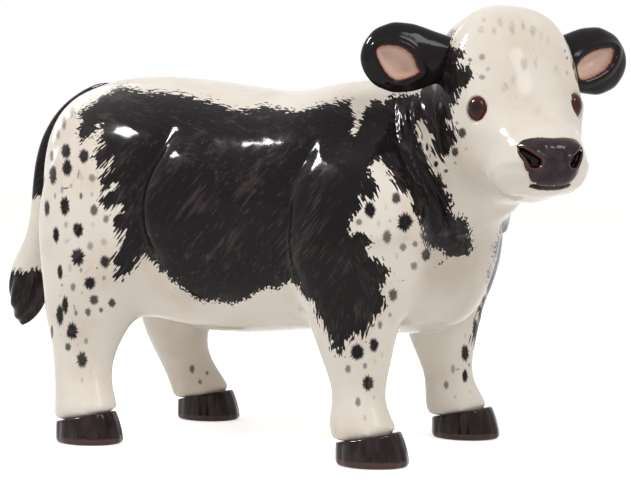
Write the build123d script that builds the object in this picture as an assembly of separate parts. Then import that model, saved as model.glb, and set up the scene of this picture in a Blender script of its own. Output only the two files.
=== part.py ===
"""A standing calf ornament in slip-cast, glazed earthenware.

The ornament is made of separate castings that are luted together: a hollow torso that runs out into the neck,
a hollow head, two cupped ears, four hollow legs and a solid tail. Four hooves, a nose pad and two glass eyes
are let into them. +X runs forward along the calf, +Y to its left and +Z up. The castings are laid out about
the middle of the body at floor height, and the whole calf is moved at the end, so that its origin is the
middle of its bounding box, at the floor. All lengths are in millimetres, and all angles in degrees.
"""

from build123d import *
import os
from functools import lru_cache
from math import cos, radians, sin

UP = (0, 0, 1)
ALONG = (1, 0, 0)
ACROSS = (0, 1, 0)

# How thick the castings are, and how they fit together
wall = 4.0
lute_gap = 0.2
socket_clearance = 0.25
cut_overrun = 3.0
oval_points = 12

# The torso: its length from rump to breast, its depth and width at the belly, and the height of its back
body_length = 174.0
body_depth = 84.4
body_width = 86.0
back_height = 119.7

# Oval stations of the torso and neck. Each has its place along the calf, its sideways shift, the height of its
# middle, its lean and turn in degrees, its half depth and its half width
torso_shares = [
    (-0.531, 0.000, 0.755, 0, 0, 0.125, 0.075),
    (-0.506, 0.000, 0.725, 0, 0, 0.245, 0.145),
    (-0.477, 0.000, 0.710, 0, 0, 0.332, 0.233),
    (-0.437, 0.000, 0.700, 0, 0, 0.399, 0.331),
    (-0.374, 0.000, 0.698, 0, 0, 0.450, 0.413),
    (-0.276, 0.000, 0.685, 0, 0, 0.488, 0.471),
    (-0.086, 0.000, 0.650, 0, 0, 0.500, 0.500),
    (0.086, 0.000, 0.650, 5, 0, 0.474, 0.500),
    (0.207, 0.000, 0.660, 12, 0, 0.498, 0.480),
    (0.290, 0.000, 0.681, 19, 0, 0.495, 0.420),
    (0.333, -0.002, 0.752, 22, 8, 0.423, 0.345),
    (0.371, -0.012, 0.827, 25, 18, 0.335, 0.280),
    (0.428, -0.030, 0.902, 30, 30, 0.237, 0.198),
]
rump_share = (-0.545, 0.000, 0.757)
torso_fullness = 2.15

# The hole under the belly that lets air and water out while the clay is dried and fired
vent_radius = 4.0
vent_share = -0.05

# The head, how far its middle is from the end of the neck, and how it is turned to the calf's right
head_length = 65.0
head_height = 61.0
head_width = 44.0
head_ahead = 10.6
head_aside = 7.0
head_rise = 4.0
head_turn = 45.0
head_lean = 0.7

# Oval stations of the head: place ahead of its middle, height of the station's middle, half height, half width
head_shares = [
    (-0.310, 0.040, 0.340, 0.330),
    (-0.225, 0.020, 0.440, 0.450),
    (-0.080, 0.000, 0.485, 0.495),
    (0.060, 0.000, 0.495, 0.500),
    (0.200, -0.055, 0.430, 0.440),
    (0.320, -0.180, 0.300, 0.360),
    (0.423, -0.265, 0.205, 0.310),
    (0.508, -0.285, 0.160, 0.280),
    (0.563, -0.290, 0.110, 0.210),
]
poll_share = (-0.375, 0.045)
muzzle_share = (0.590, -0.290)
head_fullness = 2.4
cavity_stations = 6
cavity_end_share = (0.350, -0.240)
muzzle_wall = 7.0

# The two lips that swell beside the nose, and the chin below them
lip_length = 21.0
lip_width = 17.0
lip_height = 17.5
lip_forward = 25.0
lip_side = 7.2
lip_drop = 19.2
chin_length = 26.0
chin_width = 22.0
chin_height = 13.0
chin_forward = 18.5
chin_drop = 23.8

# The oval glass eyes, cemented in sockets
eye_width = 6.3
eye_height = 7.8
eye_depth = 5.0
eye_drop = 1.4
eye_spread = 45.0
eye_turn = 39.0
eye_sink = 1.3

# The nose pad, let into a recess of the muzzle and left a little proud of it
pad_top_width = 21.0
pad_bottom_width = 13.0
pad_height = 14.0
pad_corner = 3.2
pad_drop = 18.0
pad_seat = 29.5
pad_proud = 0.8
nostril_length = 5.4
nostril_height = 3.4
nostril_depth = 4.0
nostril_side = 6.6
nostril_rise = 1.4
nostril_tilt = 35.0

# The cupped ears, whose line lags a little behind the turn of the face
ear_length = 29.0
ear_height = 22.0
ear_thickness = 10.5
ear_root_side = 17.0
ear_root_back = 3.0
ear_rise = 14.0
ear_sweep = 8.0
ear_lag = 4.0
# Oval stations of an ear: distance from its root, half height, half thickness
ear_shares = [
    (0.00, 0.290, 0.420),
    (0.20, 0.375, 0.470),
    (0.42, 0.475, 0.500),
    (0.64, 0.500, 0.480),
    (0.84, 0.400, 0.400),
    (0.95, 0.230, 0.270),
]
bowl_length = 15.0
bowl_height = 12.0
bowl_depth = 9.0
bowl_reach = 15.8
bowl_drop = 1.0
bowl_tilt = 25.0
ear_tenon_radius = 2.6
ear_tenon_length = 5.0

# Where the legs stand, how far the left rear hoof is ahead of the right one, and how high that stride reaches
front_hoof_x = 51.9
rear_hoof_x = -52.3
hoof_y = 35.3
hoof_stride = 3.4
stride_height = 28.0

# A hoof, whose top face slopes down towards the heel
hoof_length = 24.0
hoof_width = 19.6
hoof_height = 15.0
hoof_edge = 1.4
coronet_height = 9.2
coronet_slope = 11.5
peg_radius = 4.5
peg_length = 4.0
# Oval stations of a hoof: height, place behind the middle of the sole, half length, half width
hoof_shares = [
    (0.00, 0.000, 0.500, 0.500),
    (0.45, 0.028, 0.472, 0.475),
    (1.00, 0.110, 0.370, 0.410),
]

# Legs: how far below the back each ends inside its shoulder or haunch, and its length and width there
front_leg_drop = 11.7
front_leg_length = 50.0
front_leg_width = 30.0
rear_leg_drop = 3.7
rear_leg_length = 50.0
rear_leg_width = 40.0
leg_wall = 3.6
# Oval stations of a leg: height, place behind the hoof, place inside the hoof, half length, half width
front_leg_shares = [
    (0.040, 0.024, 0.000, 0.210, 0.295),
    (0.100, 0.062, 0.010, 0.224, 0.290),
    (0.145, 0.094, 0.025, 0.196, 0.255),
    (0.195, 0.114, 0.060, 0.176, 0.235),
    (0.275, 0.136, 0.100, 0.210, 0.290),
    (0.365, 0.154, 0.100, 0.268, 0.360),
    (0.535, 0.160, 0.080, 0.400, 0.425),
    (0.715, 0.190, 0.195, 0.490, 0.495),
    (0.880, 0.180, 0.340, 0.380, 0.400),
    (0.960, 0.170, 0.450, 0.220, 0.220),
]
front_leg_top_share = (0.170, 0.500)
rear_leg_shares = [
    (0.035, 0.012, 0.000, 0.220, 0.225),
    (0.090, 0.044, 0.010, 0.232, 0.225),
    (0.145, 0.090, 0.050, 0.212, 0.210),
    (0.190, 0.128, 0.090, 0.208, 0.205),
    (0.260, 0.154, 0.150, 0.232, 0.230),
    (0.330, 0.134, 0.170, 0.290, 0.290),
    (0.420, 0.090, 0.180, 0.350, 0.370),
    (0.540, 0.045, 0.200, 0.430, 0.430),
    (0.690, 0.005, 0.270, 0.500, 0.475),
    (0.850, 0.020, 0.370, 0.400, 0.420),
    (0.940, 0.020, 0.450, 0.260, 0.260),
]
rear_leg_top_share = (0.020, 0.500)

# The hollow tenon of each leg, and the angle below the torso's side at which it enters
tenon_radius = 6.0
tenon_bore_radius = 3.0
tenon_length = 6.5
front_seat_angle = 33.0
rear_seat_angle = 44.0
front_seat_share = 0.257
rear_seat_share = -0.345

# The tail, from its root on the rump down to the tip of its tuft
tail_drop = 85.7
tail_width = 16.0
tail_reach = 42.1
tail_root_x = -66.0
# Round stations of the tail: place behind the root, place below the back, lean in degrees, half width
tail_shares = [
    (0.112, -0.001, 80, 0.119),
    (0.340, 0.037, 69, 0.150),
    (0.542, 0.114, 47, 0.188),
    (0.689, 0.229, 22, 0.219),
    (0.753, 0.387, 7, 0.256),
    (0.772, 0.537, 10, 0.294),
    (0.827, 0.657, 20, 0.344),
    (0.910, 0.807, 15, 0.481),
    (0.945, 0.903, 12, 0.400),
    (0.981, 0.965, 12, 0.225),
]
tail_root_share = (-0.048, 0.026)
tail_tip_share = (1.000, 1.000)
tail_seat_station = 2
tail_peg_radius = 1.6
tail_peg_length = 5.0


def oval(plane, half_a, half_b, fullness):
    """A closed oval on a plane: an ellipse at a fullness of 2, and nearer to a rounded box above that."""
    points = []
    for turn in range(0, 360, 360 // oval_points):
        c, s = cos(radians(turn)), sin(radians(turn))
        reach = (abs(c) ** fullness + abs(s) ** fullness) ** (-1 / fullness)
        points.append(plane.from_local_coords((reach * c * half_a, reach * s * half_b)))
    return Wire([Edge.make_spline(points, periodic=True)])


def casting(start, stations, end=None, fullness=2.0):
    """A smooth form through oval stations, rounded off at its start and, if a point is given, at its end."""
    rings = [oval(plane, half_a, half_b, fullness) for plane, half_a, half_b in stations]
    points = [] if end is None else [Vertex(*end)]
    return Solid.make_loft([Vertex(*start), *rings, *points])


def ellipsoid(length, width, height):
    """An egg-like form of the given overall sizes, about the origin."""
    return scale(Sphere(1), by=(length / 2, width / 2, height / 2))


def torso_station(share, growth):
    """The plane of one torso station, with its half depth and half width."""
    along, aside, height, lean, turn, half_depth, half_width = share
    stretch = 1 + growth / (body_length * -rump_share[0])
    place = (along * body_length * stretch, aside * body_width, height * back_height)
    forward = (
        cos(radians(lean)) * cos(radians(turn)),
        -cos(radians(lean)) * sin(radians(turn)),
        sin(radians(lean)),
    )
    down = (
        sin(radians(lean)) * cos(radians(turn)),
        -sin(radians(lean)) * sin(radians(turn)),
        -cos(radians(lean)),
    )
    plane = Plane(origin=place, x_dir=down, z_dir=forward)
    return plane, half_depth * body_depth + growth, half_width * body_width + growth


@lru_cache
def torso_form(growth=0.0, reach=0.0):
    """The torso and neck, grown or shrunk all round, with the open end of the neck drawn out by reach."""
    stations = [torso_station(share, growth) for share in torso_shares]
    along, aside, height = rump_share
    tip = (along * body_length - growth, aside * body_width, height * back_height)
    form = casting(tip, stations, fullness=torso_fullness)
    if reach:
        form += extrude(Face(oval(*stations[-1], torso_fullness)), amount=reach)
    return form


def leg_seat(along_share, angle, side):
    """Where a leg's tenon crosses the torso's side: a plane that faces into the body."""
    behind = max((s for s in torso_shares if s[0] <= along_share), key=lambda s: s[0])
    ahead = min((s for s in torso_shares if s[0] > along_share), key=lambda s: s[0])
    mix = (along_share - behind[0]) / (ahead[0] - behind[0])
    height, half_depth, half_width = (behind[i] + mix * (ahead[i] - behind[i]) for i in (2, 5, 6))
    out = cos(radians(angle)) * half_width * body_width
    down = sin(radians(angle)) * half_depth * body_depth
    place = (along_share * body_length, side * out, height * back_height - down)
    inward = (0, -side * cos(radians(angle)) / half_width, sin(radians(angle)) / half_depth)
    return Plane(origin=place, x_dir=ALONG, z_dir=inward)


def rod(plane, radius, back, ahead):
    """A round rod along a plane's normal, from behind the plane to ahead of it."""
    return extrude(plane.offset(-back) * Circle(radius), amount=back + ahead)


def torso(seats):
    """The hollow torso, with a socket for each leg's tenon and for the tail's peg, and its vent."""
    shell = torso_form() - torso_form(-wall, cut_overrun + wall)
    for seat in seats:
        shell -= rod(seat, tenon_radius + socket_clearance, leg_wall + cut_overrun, wall + cut_overrun)
    shell -= rod(tail_seat(), tail_peg_radius + socket_clearance, cut_overrun, tail_peg_length + cut_overrun)
    vent = Plane(origin=(vent_share * body_length, 0, 0), x_dir=ALONG, z_dir=UP)
    return shell - rod(vent, vent_radius, 0, back_height / 2)


def leg_form(shares, top, hoof, side, sizes, stride, growth=0.0):
    """One leg, from its hoof up into its shoulder or haunch, grown or shrunk all round."""
    height, length, width = sizes
    stations = []
    for up, behind, inside, half_length, half_width in shares:
        back = behind * length + stride * min(1, up * height / stride_height)
        place = (hoof[0] - back, hoof[1] - side * inside * width, up * height)
        plane = Plane(origin=place, x_dir=ALONG, z_dir=UP)
        stations.append((plane, half_length * length + growth, half_width * width + growth))
    start = stations[0][0].origin - Vector(0, 0, shares[0][0] * height)
    end = (hoof[0] - top[0] * length - stride, hoof[1] - side * top[1] * width, height + growth)
    return casting(tuple(start), stations, end)


def coronet(hoof):
    """The sloping plane on which a leg meets its hoof."""
    slope = radians(coronet_slope)
    return Plane(origin=(*hoof, coronet_height), x_dir=(cos(slope), 0, sin(slope)), z_dir=(-sin(slope), 0, cos(slope)))


def hoof_piece(hoof):
    """A hoof: an oval block with a rounded sole edge, a sloping top and a peg hole."""
    rings = []
    for up, behind, half_length, half_width in hoof_shares:
        place = Plane(origin=(hoof[0] - behind * hoof_length, hoof[1], up * hoof_height), x_dir=ALONG, z_dir=UP)
        rings.append(Wire.make_ellipse(half_length * hoof_length, half_width * hoof_width, place))
    block = Solid.make_loft(rings)
    block = split(block, bisect_by=coronet(hoof), keep=Keep.BOTTOM)
    sole = block.faces().sort_by(Axis.Z)[0]
    block = fillet(sole.edges(), hoof_edge)
    return block - rod(coronet(hoof), peg_radius + socket_clearance, peg_length + lute_gap, cut_overrun)


def leg(shares, top, hoof, side, sizes, stride, seat):
    """A hollow leg with a peg for its hoof and a hollow tenon for the torso."""
    outer = leg_form(shares, top, hoof, side, sizes, stride)
    inner = leg_form(shares, top, hoof, side, sizes, stride, -leg_wall)
    ankle = coronet(hoof).offset(lute_gap)
    solid = split(outer, bisect_by=ankle, keep=Keep.TOP) - torso_form(lute_gap)
    hollow = split(inner, bisect_by=ankle.offset(leg_wall), keep=Keep.TOP)
    hollow = split(hollow, bisect_by=seat.offset(-leg_wall), keep=Keep.BOTTOM)
    solid += rod(seat, tenon_radius, leg_wall, tenon_length)
    solid += rod(ankle, peg_radius, peg_length, leg_wall)
    solid -= hollow
    solid -= rod(seat, tenon_bore_radius, leg_wall + cut_overrun, tenon_length + cut_overrun)
    return max(solid.solids(), key=lambda piece: piece.volume)


def tail_place(behind, below):
    """A point of the tail's middle line."""
    return tail_root_x - behind * tail_reach, 0, back_height - below * tail_drop


def tail_seat():
    """The plane where the tail's peg enters the rump."""
    behind, below, lean, _ = tail_shares[tail_seat_station]
    inward = (cos(radians(lean)), 0, -sin(radians(lean)))
    return Plane(origin=tail_place(behind, below), x_dir=ACROSS, z_dir=inward)


def tail():
    """The solid tail, laid down the rump, with a peg into it and a pointed tuft."""
    stations = []
    for behind, below, lean, half_width in tail_shares:
        down = (-sin(radians(lean)), 0, -cos(radians(lean)))
        plane = Plane(origin=tail_place(behind, below), x_dir=ACROSS, z_dir=down)
        stations.append((plane, half_width * tail_width, half_width * tail_width))
    solid = casting(tail_place(*tail_root_share), stations, tail_place(*tail_tip_share))
    root = tail_shares[tail_seat_station][-1] * tail_width / 2
    return solid - torso_form(lute_gap) + rod(tail_seat(), tail_peg_radius, root, tail_peg_length)


def head_station(share, growth):
    """The plane of one head station, with its half height and half width."""
    ahead, up, half_height, half_width = share
    place = Plane(origin=(ahead * (head_length + 2 * growth), 0, up * head_height), x_dir=UP, z_dir=ALONG)
    return place, half_height * head_height + growth, half_width * head_width + growth


@lru_cache
def head_form(growth=0.0):
    """The head's outside, grown all round: skull and muzzle, the two lips and the chin."""
    stations = [head_station(share, growth) for share in head_shares]
    back = (poll_share[0] * head_length - growth, 0, poll_share[1] * head_height)
    front = (muzzle_share[0] * head_length + growth, 0, muzzle_share[1] * head_height)
    form = casting(back, stations, front, head_fullness)
    swell = 2 * growth
    for side in (-1, 1):
        lip = ellipsoid(lip_length + swell, lip_width + swell, lip_height + swell)
        form += Pos(lip_forward, side * lip_side, -lip_drop) * lip
    chin = ellipsoid(chin_length + swell, chin_width + swell, chin_height + swell)
    return form + Pos(chin_forward, 0, -chin_drop) * chin


def head_cavity():
    """The hollow inside the skull, which narrows and ends behind the nose pad's recess."""
    *skull, muzzle = head_shares[:cavity_stations]
    stations = [head_station(share, -wall) for share in skull] + [head_station(muzzle, -muzzle_wall)]
    back = (poll_share[0] * head_length + wall, 0, poll_share[1] * head_height)
    front = (cavity_end_share[0] * head_length, 0, cavity_end_share[1] * head_height)
    return casting(back, stations, front, head_fullness)


def head_place():
    """Where the head sits on the neck, and how it is turned."""
    along, aside, height = torso_shares[-1][:3]
    x = along * body_length + head_ahead
    y = aside * body_width - head_aside
    return Pos(x, y, height * back_height + head_rise) * Rot(head_lean, 0, -head_turn)


def pad_outline(clearance):
    """The rounded trapezoid of the nose pad, on the plane of its seat."""
    plane = Plane(origin=(pad_seat - clearance, 0, -pad_drop), x_dir=ACROSS, z_dir=ALONG)
    top = pad_top_width / 2 + clearance
    bottom = pad_bottom_width / 2 + clearance
    rise = pad_height / 2 + clearance
    outline = Polygon((-top, rise), (-bottom, -rise), (bottom, -rise), (top, rise), align=None)
    return plane * fillet(outline.vertices(), pad_corner)


def pocket(width, height, depth):
    """An oval pocket of the given depth behind the origin, open along +X."""
    return extrude(Plane.YZ.offset(-depth) * Ellipse(width / 2, height / 2), amount=depth + cut_overrun)


def nostril(side):
    """The slanting pocket of one nostril."""
    place = Pos(0, side * nostril_side, nostril_rise - pad_drop) * Rot(side * nostril_tilt, 0, 0)
    return place * pocket(nostril_length, nostril_height, nostril_depth)


def nose_pad():
    """The nose pad, domed like the muzzle around it, with two nostrils."""
    pad = extrude(pad_outline(0), amount=pad_proud + head_length / 2) & head_form(pad_proud)
    reach = pad.bounding_box().max.X - pad_proud
    for side in (-1, 1):
        pad -= Pos(reach, 0, 0) * nostril(side)
    return head_place() * pad


@lru_cache
def eye_place(side):
    """Where an eye lies: on the side of the face, sunk a little into it, and turned out from the muzzle."""
    gaze = Axis((0, 0, -eye_drop), (cos(radians(eye_spread)), side * sin(radians(eye_spread)), 0))
    hits = [point for point, normal in head_form().find_intersection_points(gaze)]
    surface = max(hits, key=lambda point: (point - gaze.position).dot(gaze.direction))
    middle = surface - gaze.direction * eye_sink
    return Pos(middle.X, middle.Y, middle.Z) * Rot(0, 0, side * eye_turn)


def eye_socket(side):
    """The oval pocket that one eye is cemented into, in the head's own frame."""
    swell = 2 * socket_clearance
    return eye_place(side) * pocket(eye_width + swell, eye_height + swell, eye_depth / 2 + socket_clearance)


def ear_plane(side, distance=0.0):
    """The plane across one ear at a distance from its root, in the head's own frame."""
    sweep = radians(ear_sweep + side * ear_lag)
    out = Vector(-sin(sweep), side * cos(sweep), 0)
    root = Vector(-ear_root_back, side * ear_root_side, ear_rise).rotate(Axis.Z, ear_lag)
    return Plane(origin=root + out * distance, x_dir=(cos(sweep), side * sin(sweep), 0), z_dir=out)


def ear(side):
    """One ear: a thick leaf with a bowl pressed into its front, fitted to the skull and pegged into it."""
    stations = []
    for reach, half_height, half_thickness in ear_shares:
        plane = ear_plane(side, reach * ear_length)
        stations.append((plane, half_thickness * ear_thickness, half_height * ear_height))
    root = ear_plane(side, -ear_thickness / 2).origin
    tip = ear_plane(side, ear_length).origin
    leaf = casting(tuple(root), stations, tuple(tip))
    front = ear_plane(side, bowl_reach)
    middle = front.origin + front.x_dir * ear_thickness / 2 - Vector(0, 0, bowl_drop)
    bowl = ellipsoid(bowl_length, bowl_depth, bowl_height)
    leaf -= Plane(origin=middle, x_dir=front.z_dir, z_dir=UP) * Rot(0, bowl_tilt, 0) * bowl
    leaf -= head_form(lute_gap)
    leaf += rod(ear_plane(side), ear_tenon_radius, 0, ear_tenon_length)
    return head_place() * leaf


def head():
    """The hollow head, with its neck opening, eye sockets, ear sockets and the recess for the nose pad."""
    shell = head_form() - head_cavity()
    shell -= extrude(pad_outline(socket_clearance), amount=head_length / 2)
    for side in (-1, 1):
        shell -= eye_socket(side)
        socket = rod(ear_plane(side), ear_tenon_radius + socket_clearance, cut_overrun, ear_tenon_length)
        shell -= socket
    return head_place() * shell - torso_form(lute_gap, lute_gap)


def build():
    """Every piece of the calf by its name, about the middle of its body."""
    pieces = {}
    seats = []
    front_sizes = (back_height - front_leg_drop, front_leg_length, front_leg_width)
    rear_sizes = (back_height - rear_leg_drop, rear_leg_length, rear_leg_width)
    front = (front_leg_shares, front_leg_top_share, front_sizes)
    rear = (rear_leg_shares, rear_leg_top_share, rear_sizes)
    for side, hand in ((-1, "right"), (1, "left")):
        strides = {"front": 0, "rear": side * hoof_stride / 2}
        hooves = {"front": front_hoof_x, "rear": rear_hoof_x + strides["rear"]}
        angles = {"front": front_seat_angle, "rear": rear_seat_angle}
        places = {"front": front_seat_share, "rear": rear_seat_share}
        for end, (shares, top, sizes) in {"front": front, "rear": rear}.items():
            hoof = (hooves[end], side * hoof_y)
            seat = leg_seat(places[end], angles[end], side)
            seats.append(seat)
            pieces[f"leg_{end}_{hand}"] = leg(shares, top, hoof, side, sizes, strides[end], seat)
            pieces[f"hoof_{end}_{hand}"] = hoof_piece(hoof)
        pieces[f"ear_{hand}"] = ear(side)
        pieces[f"eye_{hand}"] = head_place() * eye_place(side) * ellipsoid(eye_depth, eye_width, eye_height)
    pieces["torso_shell"] = torso(seats)
    pieces["head_shell"] = head()
    pieces["nose_pad"] = nose_pad()
    pieces["tail"] = tail()
    return pieces


def main():
    """Writes one file for each piece, with the origin at the middle of the calf's box, at the floor."""
    pieces = build()
    box = Compound([piece.solid() for piece in pieces.values()]).bounding_box()
    middle = box.center()
    os.makedirs("parts", exist_ok=True)
    for name, piece in pieces.items():
        export_step(Pos(-middle.X, -middle.Y, -box.min.Z) * piece.solid(), f"parts/{name}.step")
        print(name, len(piece.solids()))
    print("box", box.size, "middle", middle)


main()
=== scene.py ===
# %% [markdown]
# # A standing calf in glazed earthenware
#
# This lesson dresses a small ceramic calf. The solids come from the part's source as a fixed frame, and
# every cell adds one piece or one finish. Lengths are in metres, +X runs towards the head, +Y to the calf's
# left and +Z up. Helpers that take millimetres say so.

# %% Load the frame
from math import cos, pi, radians, sin, sqrt

import bmesh
import bpy
import numpy as np
from mathutils import Matrix, Vector
from mathutils.bvhtree import BVHTree


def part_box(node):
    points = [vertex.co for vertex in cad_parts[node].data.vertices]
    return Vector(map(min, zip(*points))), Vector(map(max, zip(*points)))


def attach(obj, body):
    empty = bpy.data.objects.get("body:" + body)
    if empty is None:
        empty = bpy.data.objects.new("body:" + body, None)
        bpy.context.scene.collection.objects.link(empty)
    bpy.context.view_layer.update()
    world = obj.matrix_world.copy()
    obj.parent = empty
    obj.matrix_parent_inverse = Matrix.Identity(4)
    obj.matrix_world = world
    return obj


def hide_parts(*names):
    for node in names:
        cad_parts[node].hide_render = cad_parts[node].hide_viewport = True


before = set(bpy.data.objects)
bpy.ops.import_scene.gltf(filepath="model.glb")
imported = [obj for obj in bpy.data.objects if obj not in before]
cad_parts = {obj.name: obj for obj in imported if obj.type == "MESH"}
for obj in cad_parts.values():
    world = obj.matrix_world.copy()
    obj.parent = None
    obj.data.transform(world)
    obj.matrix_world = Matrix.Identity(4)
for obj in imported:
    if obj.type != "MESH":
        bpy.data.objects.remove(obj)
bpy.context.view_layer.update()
MM = 0.001

# %% [markdown]
# ## The camera
#
# The picture was taken from the calf's right, a little ahead of its side and just above its back. The four
# hooves stand on one level floor, which fixes the height and the distance of the lens. The camera comes
# first, because the coat is laid out through it: a border that is picked at a pixel lands on the right spot
# of the surface.

# %% Camera
PICTURE = (631, 480)
FOCAL_PIXELS = 2000.0
SENSOR_WIDTH = 36
LENS_PLACE = Vector((0.32627, -0.58509, 0.09589))
AZIMUTH, ELEVATION = radians(28.41), radians(2.42)

back = Vector((sin(AZIMUTH) * cos(ELEVATION), -cos(AZIMUTH) * cos(ELEVATION), sin(ELEVATION)))
right = Vector((cos(AZIMUTH), sin(AZIMUTH), 0))
up = back.cross(right)

camera = bpy.data.objects.new("camera", bpy.data.cameras.new("camera"))
bpy.context.scene.collection.objects.link(camera)
camera.matrix_world = Matrix.Translation(LENS_PLACE) @ Matrix((right, up, back)).transposed().to_4x4()
camera.data.sensor_width = SENSOR_WIDTH
camera.data.lens = SENSOR_WIDTH * FOCAL_PIXELS / PICTURE[0]
bpy.context.scene.camera = camera
print("camera lens", round(camera.data.lens, 1))


# %% Pixels and places
# How many pixels of the picture a millimetre takes up at a crease, at a border of the coat and at an ear
CREASE_PIXELS, COAT_PIXELS, EAR_PIXELS = 3.05, 3.1, 3.25


def to_pixels(points):
    """Where points (rows of x, y, z in metres) fall in the picture."""
    seen = (np.asarray(points) - np.array(LENS_PLACE)) @ np.array([right, -up, -back]).T
    return np.array(PICTURE) / 2 + FOCAL_PIXELS * seen[:, :2] / seen[:, 2:]


print("origin falls at", to_pixels([(0, 0, 0)]).round(1))

# %% [markdown]
# ## Small tools for meshes
#
# Every piece is an object at the origin with its place in its mesh. These helpers make such objects, and
# read and move their points.


# %% Mesh helpers
def put(name, shape):
    """An object at the origin from a finished bmesh."""
    mesh = bpy.data.meshes.new(name)
    shape.to_mesh(mesh)
    shape.free()
    piece = bpy.data.objects.new(name, mesh)
    bpy.context.scene.collection.objects.link(piece)
    mesh.shade_smooth()
    print(name, len(mesh.vertices), "points")
    return piece


def merged(names):
    """The merged surfaces of some nodes of the frame, as a bmesh."""
    shape = bmesh.new()
    for name in names:
        shape.from_mesh(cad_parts[name].data)
    bmesh.ops.remove_doubles(shape, verts=shape.verts, dist=1e-6)
    return shape


def remeshed(name, shape, size):
    """A piece with the shape as a closed skin of even squares, their size in millimetres."""
    piece = put(name, shape)
    squares = piece.modifiers.new("skin", "REMESH")
    squares.mode = "VOXEL"
    squares.voxel_size = size * MM
    bpy.context.view_layer.update()
    baked = bpy.data.meshes.new_from_object(piece.evaluated_get(bpy.context.evaluated_depsgraph_get()))
    piece.modifiers.clear()
    piece.data = baked
    baked.shade_smooth()
    return piece


def rows(items, field, width=3, kind=float):
    """One field of a mesh's points or edges as rows of numbers."""
    values = np.empty(len(items) * width, dtype=kind)
    items.foreach_get(field, values)
    return values.reshape(-1, width)


def get_places(piece):
    """The places of a piece's points."""
    return rows(piece.data.vertices, "co")


def get_normals(piece):
    """The normals at a piece's points."""
    return rows(piece.data.vertex_normals, "vector")


def get_edges(piece):
    """A piece's edges as pairs of point numbers."""
    return rows(piece.data.edges, "vertices", 2, np.int64)


def set_places(piece, places):
    """Moves a piece's points to new places."""
    piece.data.vertices.foreach_set("co", np.asarray(places, dtype=np.float32).ravel())
    piece.data.update()


def shift(piece, amount, way=None):
    """Moves points by millimetres, along their normals or in one direction."""
    way = get_normals(piece) if way is None else way
    set_places(piece, get_places(piece) + (amount * MM)[:, None] * way)


def neighbour_mean(places, edges):
    """The mean place of each point's neighbours."""
    here, there = np.concatenate([edges, edges[:, ::-1]]).T
    total = [np.bincount(here, column[there], len(places)) for column in places.T]
    return np.stack(total, 1) / np.maximum(np.bincount(here, minlength=len(places)), 1)[:, None]


def middle_of(node):
    """The middle of a node's box in the frame."""
    return np.mean([list(corner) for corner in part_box(node)], axis=0)


def ramp(value, low, high):
    """0 below low, 1 above high, and a smooth step between them."""
    share = np.clip((np.asarray(value) - low) / (high - low), 0, 1)
    return share * share * (3 - 2 * share)


# %% [markdown]
# ## The skin of the castings
#
# On the real ornament the torso, neck, head and legs are luted together under one glaze, so the eye sees one
# soft skin. The frame has them as hollow castings. A voxel remesh melts them together, and the shell that it
# leaves inside is thrown away. The vent under the belly is plugged first, so that the inside and the outside
# stay apart.

# %% Melt the castings together
LEGS = ["leg_front_right", "leg_front_left", "leg_rear_right", "leg_rear_left"]
CASTINGS = ["torso_shell", "head_shell", *LEGS]
VENT = Vector((-0.01174, 0, 0.0385))
PLUG_RADIUS, PLUG_DEPTH = 0.0046, 0.004
SKIN_SQUARE = 1.7

skin_shape = merged([*CASTINGS, "nose_pad", "eye_right", "eye_left"])
bmesh.ops.create_cone(
    skin_shape, cap_ends=True, segments=32, radius1=PLUG_RADIUS, radius2=PLUG_RADIUS, depth=PLUG_DEPTH,
    matrix=Matrix.Translation(VENT),
)
skin = remeshed("calf_skin", skin_shape, SKIN_SQUARE)


# %% Keep the outside only
def keep_outside(piece):
    """Leaves only the surface that hangs together with the highest point."""
    shape = bmesh.new()
    shape.from_mesh(piece.data)
    front = {max(shape.verts, key=lambda point: point.co.z)}
    outside = set(front)
    while front:
        front = {edge.other_vert(point) for point in front for edge in point.link_edges} - outside
        outside |= front
    inside = [point for point in shape.verts if point not in outside]
    bmesh.ops.delete(shape, geom=inside, context="VERTS")
    shape.to_mesh(piece.data)
    shape.free()
    print(piece.name, "points outside", len(outside), "and inside", len(inside))


keep_outside(skin)

# %% [markdown]
# ## Soft joints
#
# Slip and glaze round off every corner where castings meet. Plain smoothing would also shrink the thin
# ankles, so only the hollows near a joint are filled: a point moves out along its normal where its
# neighbours lie in front of it.


# %% Distances to the castings
def distances(names, places, reach=12.0):
    """How many millimetres each place lies from some nodes, up to a reach."""
    shape = merged(names)
    tree = BVHTree.FromBMesh(shape)
    shape.free()
    found = [tree.find_nearest(place, reach * MM)[3] for place in places.tolist()]
    return np.array([reach if gap is None else gap / MM for gap in found])


places = get_places(skin)
torso_gap = distances(["torso_shell"], places)
leg_gap = distances(LEGS, places)
head_gap = distances(["head_shell"], places)
print("points near a joint", int((torso_gap + np.minimum(leg_gap, head_gap) < 6).sum()))

# %% Fill the hollows at the joints
JOINT_WIDTH = 7


def fill_hollows(piece, weight, rounds, renew=10):
    """Moves points outwards where their neighbours lie in front of them."""
    edges, places = get_edges(piece), get_places(piece)
    for step in range(rounds):
        if step % renew == 0:
            set_places(piece, places)
            normals = get_normals(piece)
        pull = ((neighbour_mean(places, edges) - places) * normals).sum(1, keepdims=True)
        places += weight[:, None] * np.maximum(pull, 0) * normals
    set_places(piece, places)


def smooth(piece, rounds, weight=1.0):
    """Plain smoothing, as strong as the weight of each point."""
    edges, places = get_edges(piece), get_places(piece)
    for step in range(rounds):
        places += 0.5 * np.reshape(weight, (-1, 1)) * (neighbour_mean(places, edges) - places)
    set_places(piece, places)


def near(gap_a, gap_b):
    """1 on the line where two castings meet, and fading out beside it."""
    return np.exp(-(((gap_a + gap_b) / JOINT_WIDTH) ** 2))


joint = np.maximum(near(torso_gap, leg_gap), near(torso_gap, head_gap))
fill_hollows(skin, 0.9 * joint, 160)
smooth(skin, 6, 0.25 + 0.75 * joint)

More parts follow.
